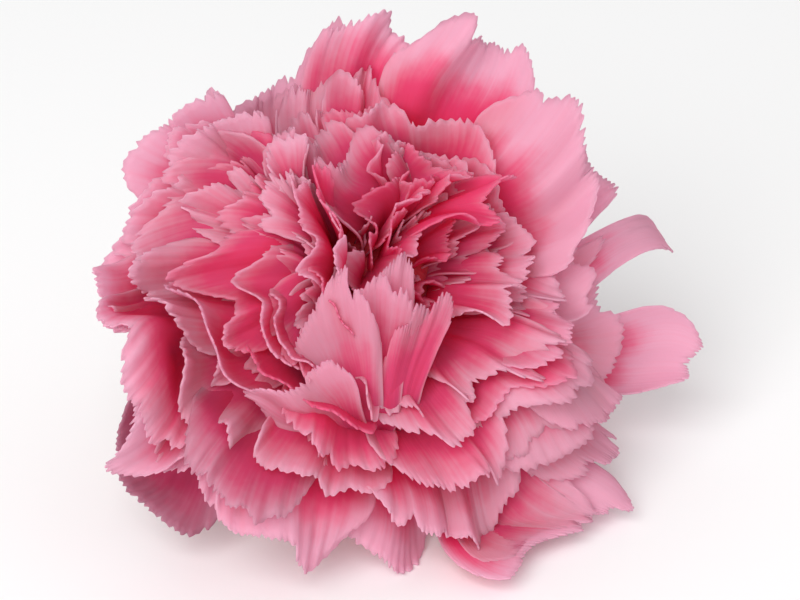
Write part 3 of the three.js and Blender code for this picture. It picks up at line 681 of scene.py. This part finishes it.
outer_draw = Draw(OUTER_SEED)
names = [f"guard_petal_{k + 1:02d}" for k in range(len(GUARDS))]
names += [f"recurved_petal_{k + 1:02d}" for k in range(len(RECURVED))]
for k, (name, row) in enumerate(zip(names, GUARDS + RECURVED)):
    # painted shade darkens the petals named in the table above
    spec = dict(outer_petal(outer_draw, *row), painted_shade=PAINTED_SHADE_SHARES.get(name, 0.0))
    petal_piece(name, spec, FIRST_REST + REST_STEP * (k % 12), 300 + k, outer_sides)


# ---- the calyx -----------------------------------------------------------------------------------
# A leathery green tube of five joined sepals that holds the claws of all petals. Fine nerves run along it,
# a thin wax makes it bluish, and its rim ends in five flared teeth with a dry pale edge.
CALYX_PROFILE = [                     # height along the axis and radius
    (-24.4, 2.8), (-23.6, 4.4), (-22.4, 5.3), (-19.5, 5.7), (-14, 6.25), (-8, 6.95), (-0.2, 8.0),
]
CALYX_TEETH, TOOTH_RISE, TOOTH_FLARE, TOOTH_FOOT = 5, 3.4, 2.9, 0.12
TOOTH_POINT, FLARE_CURVE = 1.15, 1.3
DRY_MIDDLE = 0.35                     # how dry a tooth's middle is, against its edge
RIM = 0.86                            # share of the tube's length at which its teeth begin
CALYX_WALL = 0.7
WELD = 0.01                           # points nearer together than this are joined
NERVES, NERVE_HEIGHT = 35, 0.07
STREAK_CHANGES = 3.0                  # how often the streaks between them change along it
CLOUDS, PORES = 260.0, 4200.0         # patches of wax and pores of the skin per metre
SKIN_DEPTH = 0.1


def grid_piece(name, columns, rows):
    """A flat grid, with the places of its points from -1 to 1 across it and from 0 to 1 along it."""
    bpy.ops.object.select_all(action="DESELECT")
    bpy.ops.mesh.primitive_grid_add(x_subdivisions=columns, y_subdivisions=rows, size=2)
    piece = bpy.context.object
    piece.name = piece.data.name = name
    places = np.empty(3 * len(piece.data.vertices))
    piece.data.vertices.foreach_get("co", places)
    places = places.reshape(-1, 3)
    return piece, places[:, 0], (places[:, 1] + 1) / 2


def turned(piece, turn, out, height):
    """Places a grid's points round the flower's axis, never lower than the table."""
    points = laid(np.stack([out * np.cos(turn), out * np.sin(turn), height], -1))
    points[:, 2] = np.maximum(points[:, 2], 0)
    piece.data.vertices.foreach_set("co", (points * MM).ravel())


def seam_closed():
    """Joins the two edges of a grid that was turned round, and the points that meet on its axis."""
    bpy.ops.object.mode_set(mode="EDIT")
    bpy.ops.mesh.select_all(action="SELECT")
    bpy.ops.mesh.remove_doubles(threshold=WELD * MM)
    bpy.ops.mesh.normals_make_consistent(inside=False)
    bpy.ops.object.mode_set(mode="OBJECT")


def green_material(name, leaf, nerve, edge, wax, stripes):
    """Waxy green tissue with nerves along it and a dry edge, by the attributes around, length and edge."""
    made = bpy.data.materials.new(name)
    made.use_nodes = True
    tree = made.node_tree
    shader = tree.nodes["Principled BSDF"]
    around, length, dry = (
        node(tree, "ShaderNodeAttribute", attribute_name=label).outputs["Fac"]
        for label in ("around", "length", "edge")
    )
    lines = tree.nodes.new("ShaderNodeCombineXYZ")
    streak = node(tree, "ShaderNodeTexNoise", Scale=1.0, Detail=3.0, Roughness=0.6)
    place = tree.nodes.new("ShaderNodeTexCoord").outputs["Object"]
    cloud = node(tree, "ShaderNodeTexNoise", Scale=CLOUDS, Detail=4.0, Roughness=0.6)
    pores = node(tree, "ShaderNodeTexNoise", Scale=PORES, Detail=1.0)
    link(tree, (math_node(tree, "MULTIPLY", around, stripes), lines.inputs[0]),
         (math_node(tree, "MULTIPLY", length, STREAK_CHANGES), lines.inputs[1]),
         (lines.outputs[0], streak.inputs["Vector"]),
         (place, cloud.inputs["Vector"]), (place, pores.inputs["Vector"]))
    colour = mixed(tree, ramp_between(tree, streak.outputs["Fac"], 0.4, 0.68), leaf, nerve)
    colour = mixed(tree, ramp_between(tree, cloud.outputs["Fac"], 0.42, 0.70, 0.0, 0.6), colour, wax)
    colour = mixed(tree, ramp_between(tree, dry, 0.45, 0.95), colour, edge)
    relief = node(tree, "ShaderNodeBump", Strength=0.5, Distance=SKIN_DEPTH * MM)
    grain = math_node(tree, "MULTIPLY", pores.outputs["Fac"], 0.25)
    link(tree, (math_node(tree, "ADD", streak.outputs["Fac"], grain), relief.inputs["Height"]),
         (relief.outputs[0], shader.inputs["Normal"]), (colour, shader.inputs["Base Color"]),
         (ramp_between(tree, cloud.outputs["Fac"], 0.3, 0.7, 0.42, 0.62), shader.inputs["Roughness"]))
    return made


def green_piece(piece, material):
    piece.data.materials.append(material)
    bpy.ops.object.shade_smooth()
    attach(piece, "root")
    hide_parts("calyx_stem")


calyx, across, along = grid_piece("calyx", 4 * NERVES, 15)
turn = across * math.pi
heights, radii = np.array(CALYX_PROFILE).T
share = np.clip(along / RIM, 0, 1)
past_rim = np.clip((along - RIM) / (1 - RIM), 0, 1)
in_tooth = np.abs((turn / (2 * math.pi) * CALYX_TEETH) % 1 - 0.5) * 2
tooth = TOOTH_FOOT + (1 - TOOTH_FOOT) * (1 - in_tooth ** TOOTH_POINT)
height = heights[0] + share * (heights[-1] - heights[0])
out = np.interp(height, heights, radii) - CALYX_WALL / 2
out = out + NERVE_HEIGHT * np.cos(turn * NERVES) * smooth(share * 4)
turned(calyx, turn, out + TOOTH_FLARE * tooth * past_rim ** FLARE_CURVE,
       height + TOOTH_RISE * tooth * past_rim)
give_attribute(calyx.data, "around", np.abs(across))
give_attribute(calyx.data, "length", along)
give_attribute(calyx.data, "edge", past_rim * (DRY_MIDDLE + (1 - DRY_MIDDLE) * in_tooth ** 2))
seam_closed()
modified(calyx, "SOLIDIFY", thickness=CALYX_WALL * MM, offset=0)
modified(calyx, "SUBSURF", levels=1, render_levels=1)
calyx_green = green_material("calyx_green", (0.12, 0.23, 0.055), (0.22, 0.36, 0.12), (0.62, 0.60, 0.38),
                             (0.34, 0.46, 0.33), stripes=26)
green_piece(calyx, calyx_green)


# ---- the claws -----------------------------------------------------------------------------------
# Below the blades the petals narrow to pale claws, packed side by side in the calyx. Above its mouth their
# crimson lower halves still stand too close to tell apart.
CLAW_PROFILE = [                      # height along the axis and radius
    (-21, 0), (-20.9, 4.2), (-14, 4.9), (-6, 5.9), (-0.2, 6.6), (3, 7.4), (8, 9.0), (13, 9.5), (16, 7.0),
    (17, 0),
]
CLAW_PLEATS, PLEAT_DEPTH = 30, 0.35

claws, across, along = grid_piece("claws", 6 * CLAW_PLEATS, 5 * (len(CLAW_PROFILE) - 1))
turn = across * math.pi
heights, radii = np.array(CLAW_PROFILE).T
knots = np.linspace(0, 1, len(heights))
out, height = np.interp(along, knots, radii), np.interp(along, knots, heights)
out = out - PLEAT_DEPTH * np.abs(np.sin(turn * CLAW_PLEATS / 2)) * np.clip(out / 4, 0, 1)
points = np.stack([out * np.cos(turn), out * np.sin(turn), height], -1)
points[height > 0] = crumpled(points[height > 0])
claws.data.vertices.foreach_set("co", (laid(points) * MM).ravel())
give_attribute(claws.data, "across", np.abs(across) * 2 - 1)
give_attribute(claws.data, "reach", 0.35 + 0.5 * along)
give_attribute(claws.data, "tint", np.zeros(len(along)))
give_attribute(claws.data, "painted_shade", np.zeros(len(along)))
seam_closed()
claw_tissue = petal_material("claw_tissue", (0.72, 0.70, 0.42), (0.8, 0.05, 0.09), (0.7, 0.01, 0.05),
                             see_through=0.3)
claws.data.materials.append(claw_tissue)
bpy.ops.object.shade_smooth()
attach(claws, "root")
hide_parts("bloom")


# ---- the bracts ----------------------------------------------------------------------------------
# Two pairs of small pointed scales grow from the stem's joint and are pressed to the calyx's base. One
# pair is shorter than the other.
BRACTS = [(8.5, 0.0), (8.5, math.pi), (10.5, math.pi / 2), (10.5, 1.5 * math.pi)]    # length and azimuth
BRACT_FOOT, BRACT_HALF_WIDTH, BRACT_THICK = -26, 0.85, 0.55
BRACT_IN, BRACT_OUT = 2.9, 3.2        # how far out a bract's foot is, and how far its belly swells

bract_green = green_material("bract_green", (0.15, 0.27, 0.07), (0.24, 0.38, 0.13), (0.58, 0.55, 0.33),
                             (0.36, 0.47, 0.32), stripes=9)
for k, (length, azimuth) in enumerate(BRACTS):
    bract, across, along = grid_piece(f"bract_{k + 1}", 20, 24)
    narrow = np.maximum(1 - along ** 2.2, 0.03) * (0.75 + 0.25 * smooth(along * 3))
    out = BRACT_IN + BRACT_OUT * smooth(along * 1.6) + 0.5 * along ** 2
    out = out + 0.25 * (1 - across ** 2) * (1 - along)
    turned(bract, azimuth + across * BRACT_HALF_WIDTH * narrow, out, BRACT_FOOT + along * length)
    give_attribute(bract.data, "around", across)
    give_attribute(bract.data, "length", along)
    give_attribute(bract.data, "edge", np.maximum(np.abs(across) ** 3, smooth((along - 0.8) / 0.2)))
    modified(bract, "SOLIDIFY", thickness=BRACT_THICK * MM, offset=0)
    modified(bract, "SUBSURF", levels=1, render_levels=1)
    green_piece(bract, bract_green)


# ---- the stem ------------------------------------------------------------------------------------
# A short stub of the round stem, thicker at the joint that carries the bracts and the calyx, and cut
# square. The flower lies on the lower edge of the cut, which shows pale pith inside the green rind.
STEM_RADIUS = 2.4
CUT_SINK = 0.5                        # how far the cut's lower edge would reach below the table
down = to_table[2, 2]
stem_end = -(MOUTH[2] - STEM_RADIUS * math.sqrt(1 - down ** 2) + CUT_SINK) / down
STEM_PROFILE = [                      # height along the axis and radius
    (-23.4, 0), (-23.5, 3.0), (-24.6, 3.5), (-25.8, 3.2), (-27.2, STEM_RADIUS),
    (stem_end + 0.3, STEM_RADIUS), (stem_end, STEM_RADIUS - 0.15),
    (stem_end + 0.15, 1.2), (stem_end + 0.2, 0),
]
STEM_RIDGES, RIDGE_HEIGHT = 12, 0.05

stem, across, along = grid_piece("stem", 8 * STEM_RIDGES, 6 * (len(STEM_PROFILE) - 1))
turn = across * math.pi
heights, radii = np.array(STEM_PROFILE).T
knots = np.linspace(0, 1, len(heights))
out = np.interp(along, knots, radii)
turned(stem, turn, out + RIDGE_HEIGHT * np.cos(turn * STEM_RIDGES) * np.clip(out - 1, 0, 1),
       np.interp(along, knots, heights))
give_attribute(stem.data, "around", np.abs(across))
give_attribute(stem.data, "length", along)
give_attribute(stem.data, "edge", smooth((along - knots[-3]) / 0.03))
seam_closed()
stem_green = green_material("stem_green", (0.14, 0.26, 0.07), (0.22, 0.36, 0.12), (0.52, 0.60, 0.30),
                            (0.36, 0.48, 0.34), stripes=20)
green_piece(stem, stem_green)


# ---- the table, the light and the camera ---------------------------------------------------------
# A pale table under soft studio light, seen from VIEW_HEIGHT above it. The bloom's heart stands at HEART
# in a picture of PICTURE pixels.
PICTURE = (800, 600)
HEART = (410, 250)
HEART_HEIGHT = 24          # the heart above the calyx's mouth, along the flower's axis
DISTANCE = 0.42            # of the camera from the heart
PIXELS_PER_METRE = 7200    # at the heart
SENSOR = 36
SKY = 0.62                 # strength of the light from all round


def plain_material(name, colour, roughness):
    made = bpy.data.materials.new(name)
    made.use_nodes = True
    shader = made.node_tree.nodes["Principled BSDF"]
    shader.inputs["Base Color"].default_value = (*colour, 1.0)
    shader.inputs["Roughness"].default_value = roughness
    return made


bpy.ops.object.select_all(action="DESELECT")
bpy.ops.mesh.primitive_plane_add(size=4)
table = bpy.context.object
table.name = "table"
table.data.materials.append(plain_material("pale_table", (0.94, 0.94, 0.94), 0.6))

view_right = np.array([1, 0, 0])
view_up = np.array([0, math.sin(VIEW_HEIGHT), math.cos(VIEW_HEIGHT)])
view_back = np.array([0, -math.cos(VIEW_HEIGHT), math.sin(VIEW_HEIGHT)])
heart = laid([0, 0, HEART_HEIGHT]) * MM
aim = heart - view_right * (HEART[0] - PICTURE[0] / 2) / PIXELS_PER_METRE
aim = aim + view_up * (HEART[1] - PICTURE[1] / 2) / PIXELS_PER_METRE
camera_data = bpy.data.cameras.new("camera")
camera_data.sensor_width = SENSOR
camera_data.lens = SENSOR * DISTANCE / (PICTURE[0] / PIXELS_PER_METRE)
camera = bpy.data.objects.new("camera", camera_data)
bpy.context.collection.objects.link(camera)
camera.location = Vector(aim + view_back * DISTANCE)
camera.rotation_mode = "QUATERNION"
camera.rotation_quaternion = Matrix([view_right, view_up, view_back]).transposed().to_quaternion()
bpy.context.scene.camera = camera


def soft_light(name, place, target, size, watts):
    data = bpy.data.lights.new(name, "AREA")
    data.size = size
    data.energy = watts
    made = bpy.data.objects.new(name, data)
    bpy.context.collection.objects.link(made)
    made.location = Vector(place)
    made.rotation_mode = "QUATERNION"
    made.rotation_quaternion = (Vector(target) - Vector(place)).to_track_quat("-Z", "Y")


soft_light("key_light", (-0.45, -1.24, 1.04), (0, 0, 0.04), 1.2, 26)
world = bpy.data.worlds.new("studio")
world.use_nodes = True
world.node_tree.nodes["Background"].inputs[0].default_value = (1, 1, 1, 1)
world.node_tree.nodes["Background"].inputs[1].default_value = SKY
bpy.context.scene.world = world
bpy.context.scene.view_settings.view_transform = "Standard"
